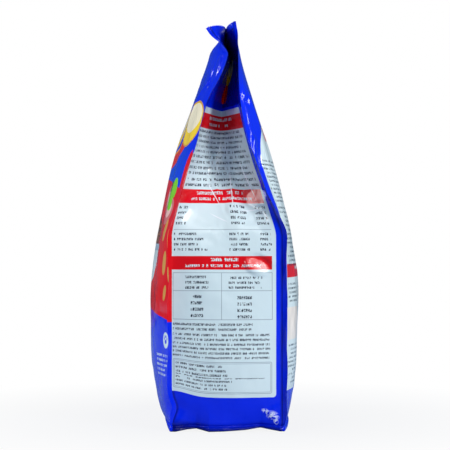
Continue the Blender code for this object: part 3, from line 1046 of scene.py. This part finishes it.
def front_print(tree, film):
    """Plain shapes: a cream oval with a bone, a ribbon, a bowl of kibble, leaves and drops."""
    sheet = Print(tree, film, FILM_BLUE)
    cover, oval, box = sheet.cover, sheet.oval, sheet.box
    cover(oval(0.125, 0.235, 0.16, 0.12, part="Depth"), LIGHT_BLUE)
    ribbon = minus(
        tree, oval(0.125, 0.345, 0.122, 0.075), oval(0.125, 0.367, 0.124, 0.08), clamp=True)
    ribbon = times(tree, ribbon, box(0.0, 0.25, 0.25, 0.303))
    edge = times(tree, ribbon, oval(0.125, 0.3645, 0.124, 0.08))
    cover(ribbon, RIBBON_RED)
    cover(edge, RIBBON_GOLD)
    field = minus(tree, sheet.beyond(0.122, -0.7), sheet.beyond(0.262, -1.0), clamp=True)
    cover(field, BAND_RED)
    cover(sheet.most(oval(middle, 0.25, 0.015, 0.039) for middle in (-0.001, 0.251)), BAND_RED)
    cover(oval(0.125, 0.18, 0.12, 0.09, part="Depth"), WARM_RED)

    for middle, half in ((0.219, 0.033), (0.031, 0.033), (0.125, 0.054)):
        cover(oval(middle, 0.3175, half, half * 0.35 + 0.0125), GOLD)
        cover(oval(middle, 0.3175, half - 0.002, half * 0.35 + 0.0107), YELLOW)
        cover(oval(middle, 0.3235, half - 0.006, half * 0.35 + 0.004), CREAM)
    cover(box(0.1, 0.15, 0.315, 0.325, 0.003), FILM_BLUE)
    cover(sheet.most(
        oval(0.125 + side * 0.027, 0.32 + up * 0.0062, 0.0088, 0.0076)
        for side in (-1, 1) for up in (-1, 1)), FILM_BLUE)

    cover(oval(0.125, 0.201, 0.061, 0.026), KIBBLE_DARK)
    pieces = new_node(tree, "TexVoronoi", Vector=film, Scale=KIBBLE_SCALE)
    round_piece = times(
        tree, minus(tree, 0.5, pieces.outputs["Distance"]), KIBBLE_SHARPNESS, clamp=True)
    heap = times(tree, round_piece, oval(0.125, 0.201, 0.06, 0.025))
    cover(heap, KIBBLE)
    bowl = times(tree, oval(0.125, 0.198, 0.066, 0.052), box(0.055, 0.195, 0.15, 0.192, 0.004))
    cover(bowl, LABEL_WHITE)
    cover(box(0.059, 0.191, 0.185, 0.192, 0.003), BOWL_RIM)
    cover(paw(sheet, 0.125, 0.168, 0.012), FILM_BLUE)

    for mirrored in (1, -1):
        shapes = (
            (0.07, 0.238, 0.019, 0.015, 0.4, SLICE_PINK),
            (0.068, 0.24, 0.011, 0.008, 0.4, SLICE_PALE),
            (0.09, 0.226, 0.017, 0.013, -0.5, SLICE_PINK),
            (0.091, 0.227, 0.01, 0.007, -0.5, SLICE_PALE),
            (0.083, 0.246, 0.013, 0.007, 1.2, LEAF_DARK), (0.092, 0.25, 0.0115, 0.01, 1.3, LEAF),
            (0.087, 0.237, 0.012, 0.008, 0.9, LEAF), (0.094, 0.206, 0.005, 0.013, 0.5, GOLD),
            (0.112, 0.196, 0.0045, 0.011, 0.0, GOLD), (0.1, 0.172, 0.0055, 0.013, 0.15, GOLD),
            (0.116, 0.16, 0.004, 0.009, -0.3, GOLD), (0.104, 0.141, 0.004, 0.009, 0.4, GOLD),
        )
        for off, up, half_x, half_y, turn, colour in shapes:
            cover(oval(0.125 + mirrored * off, up, half_x, half_y, mirrored * turn), colour)
    cover(oval(0.232, 0.092, 0.0085, 0.0085), LABEL_WHITE)
    cover(paw(sheet, 0.232, 0.092, 0.0068), FILM_BLUE)
    cover(box(0.018, 0.094, 0.052, 0.098, 0.004), LABEL_WHITE)
    cover(sheet.rows(0.022, 0.09, 0.094, 0.006, 3, 0.0022, 0.018, 5.0), SMALL_INK)
    cover(sheet.rows(0.022, 0.09, 0.073, 0.0045, 4, 0.0016, 0.01, 8.0), SMALL_INK)
    cover(sheet.rows(0.196, 0.244, 0.078, 0.005, 5, 0.0018, 0.016, 3.0), LABEL_WHITE)
    return sheet.colour


def back_print(tree, film):
    """A pale label in columns of small print, with red bands and a plain pale box."""
    sheet = Print(tree, film, FILM_BLUE)
    cover, box = sheet.cover, sheet.box
    cover(box(0.015, 0.235, 0.12, 0.318, 0.062), LABEL_WHITE)
    cover(box(0.015, 0.235, 0.04, 0.23, 0.003), LABEL_WHITE)
    bands = (box(*place, 0.001)
             for place in ((0.05, 0.18, 0.302, 0.317), (0.016, 0.234, 0.157, 0.171)))
    cover(sheet.most(bands), BAND_RED)
    cover(box(0.188, 0.234, 0.092, 0.126, 0.002), BOX_CREAM)
    cover(sheet.rows(0.07, 0.18, 0.3155, 0.007, 1, 0.003, 0.0, 2.0), LABEL_WHITE)
    cover(sheet.rows(0.06, 0.19, 0.17, 0.007, 1, 0.003, 0.0, 4.0), LABEL_WHITE)
    blocks = (
        (0.018, 0.084, 0.281, 0.0042, 11, 0.0015, 0.012),
        (0.018, 0.084, 0.232, 0.0046, 14, 0.0016, 0.02),
        (0.09, 0.158, 0.298, 0.0042, 15, 0.0015, 0.012), (0.09, 0.158, 0.232, 0.0046, 14, 0.0016, 0.02),
        (0.164, 0.233, 0.281, 0.0042, 11, 0.0015, 0.012),
        (0.164, 0.233, 0.232, 0.0046, 14, 0.0016, 0.02),
        (0.018, 0.18, 0.152, 0.0044, 13, 0.0016, 0.016), (0.19, 0.232, 0.152, 0.0044, 5, 0.0016, 0.01),
        (0.018, 0.233, 0.088, 0.0043, 10, 0.0015, 0.022),
    )
    sheet.blocks(blocks, 20.0, 7.0, SMALL_INK)
    return sheet.colour


def front_fin_print(tree, film):
    """The front panel's colours run on over its fins."""
    sheet = Print(tree, film, FILM_BLUE)
    sheet.cover(sheet.box(-0.1, 0.4, 0.112, 0.285), BAND_RED)
    return sheet.colour


def back_fin_print(tree, film):
    """One colour with a slightly uneven layer of ink."""
    sheet = Print(tree, film, FILM_BLUE)
    sheet.cover(cloud(tree, film, INK_SCALE), DEEP_BLUE)
    return sheet.colour


def base_print(tree, _):
    """Dark lines where the folded ends of the film meet under the bag."""
    sheet = Print(tree, new_node(tree, "TexCoord").outputs["Object"], FILM_BLUE)
    lines = ((-0.118, 0.118, -0.0006, 0.0006), (-0.0664, -0.0656, -0.05, 0.05),
             (0.0656, 0.0664, -0.05, 0.05))
    sheet.cover(sheet.most(sheet.box(*place) for place in lines), SEAM_AND_SHADE_BLUE)
    return sheet.colour


def put(name, data):
    """An object in the scene."""
    thing = bpy.data.objects.new(name, data)
    SCENE.collection.objects.link(thing)
    return thing


def new_material(name):
    material = bpy.data.materials.new(name)
    material.use_nodes = True
    return material, material.node_tree, material.node_tree.nodes["Principled BSDF"]


def film_material(name, lay_print, *seed):
    """Glossy film whose colours come from a print."""
    material, tree, shader = new_material(name)
    uv_map = new_node(tree, "UVMap")
    uv_map.uv_map = "film"
    film = uv_map.outputs["UV"]
    place = new_node(tree, "TexCoord").outputs["Object"]
    surface = new_node(tree, "Group")
    surface.node_tree = FILM_SURFACE
    feed(tree, surface.inputs["Place"], place)
    feed(tree, surface.inputs["Film"], film)
    bump = new_node(tree, "Bump", Distance=1.0, Height=surface.outputs["Height"])
    for label, value in (
            ("Normal", bump.outputs["Normal"]), ("Roughness", surface.outputs["Roughness"]),
            ("Base Color", lay_print(tree, film, *seed)),
            ("Specular IOR Level", SPECULAR), ("Coat Weight", COAT),
            ("Coat Roughness", COAT_ROUGHNESS)):
        feed(tree, shader.inputs[label], value)
    return material


def build_film():
    film = put("film", film_mesh())
    prints = (
        ("front_film", front_print), ("near_film", gusset_top_print, 1.0),
        ("back_film", back_print), ("far_film", gusset_top_print, 57.0),
        ("front_fin", front_fin_print), ("back_fin", back_fin_print), ("base_film", base_print),
        ("near_foot", gusset_foot_print, 3.0), ("far_foot", gusset_foot_print, 71.0),
    )
    for named_print in prints:
        film.data.materials.append(film_material(*named_print))
    return film


def make_camera():
    azimuth = math.radians(CAMERA_AZIMUTH)
    data = bpy.data.cameras.new("camera")
    data.sensor_width = SENSOR_WIDTH
    data.lens = SENSOR_WIDTH * CAMERA_DISTANCE / (MIDDLE_PIXEL_SIZE * PHOTO_SIDE)
    data.shift_y = (HORIZON_ROW - PHOTO_SIDE / 2) / PHOTO_SIDE
    data.shift_x = (PHOTO_SIDE / 2 - MIDDLE_COLUMN) / PHOTO_SIDE
    camera = put("camera", data)
    camera.location = (CAMERA_DISTANCE * math.sin(azimuth),
                       -CAMERA_DISTANCE * math.cos(azimuth), CAMERA_HEIGHT)
    camera.rotation_euler = (math.radians(90), 0.0, azimuth)
    SCENE.camera = camera


def make_light(name, place, width, height, power):
    data = bpy.data.lights.new(name, "AREA")
    data.shape = "RECTANGLE"
    data.size, data.size_y = width, height
    data.energy = power
    light = put(name, data)
    light.location = place
    aim = Vector(LAMP_TARGET) - Vector(place)
    light.rotation_euler = aim.to_track_quat("-Z", "Y").to_euler()


def make_stage():
    bm = bmesh.new()
    bmesh.ops.create_grid(bm, x_segments=2, y_segments=2, size=FLOOR_HALF)
    mesh = as_mesh(bm, "floor")
    floor = put("floor", mesh)
    material, tree, shader = new_material("floor_paper")
    feed(tree, shader.inputs["Base Color"], FLOOR_COLOUR)
    feed(tree, shader.inputs["Roughness"], FLOOR_ROUGHNESS)
    white = new_node(tree, "Emission", Strength=1.0)
    place = new_node(tree, "TexCoord").outputs["Object"]
    away = vectors(tree, "LENGTH", vectors(tree, "MULTIPLY", place, (1.0, 1.0, 0.0)))
    far = ratio(tree, minus(tree, away, SHADE_REACH), SHADE_FADE, clamp=True)
    far = maths("MULTIPLY_ADD", tree, far, SHADE_DEPTH, 1.0 - SHADE_DEPTH)
    to_white = times(tree, far, new_node(tree, "LightPath").outputs["Is Camera Ray"])
    blend_in = new_node(tree, "MixShader")
    for socket, value in zip(
            blend_in.inputs, (to_white, shader.outputs["BSDF"], white.outputs["Emission"])):
        feed(tree, socket, value)
    feed(tree, tree.nodes["Material Output"].inputs["Surface"], blend_in.outputs["Shader"])
    mesh.materials.append(material)

    world = bpy.data.worlds.new("studio")
    SCENE.world = world
    world.use_nodes = True
    tree = world.node_tree
    background = tree.nodes["Background"]
    seen = new_node(tree, "LightPath").outputs["Is Camera Ray"]
    strength = maths("MULTIPLY_ADD", tree, seen, 1.0 - ROOM_LIGHT, ROOM_LIGHT)
    feed(tree, background.inputs["Strength"], strength)
    colour = colour_mix(tree, seen, ROOM_TINT, (1.0, 1.0, 1.0, 1.0))
    feed(tree, background.inputs["Color"], colour)


SCENE.view_settings.view_transform = "Standard"
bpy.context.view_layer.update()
PRINTED_BOX = printed_box_group()
PRINTED_OVAL = printed_oval_group()
SMALL_PRINT = small_print_group()
FILM_SURFACE = film_surface_group()
film = build_film()
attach(film, "root")
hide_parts("bag")
make_camera()
for lamp in LAMPS:
    make_light(*lamp)
make_stage()
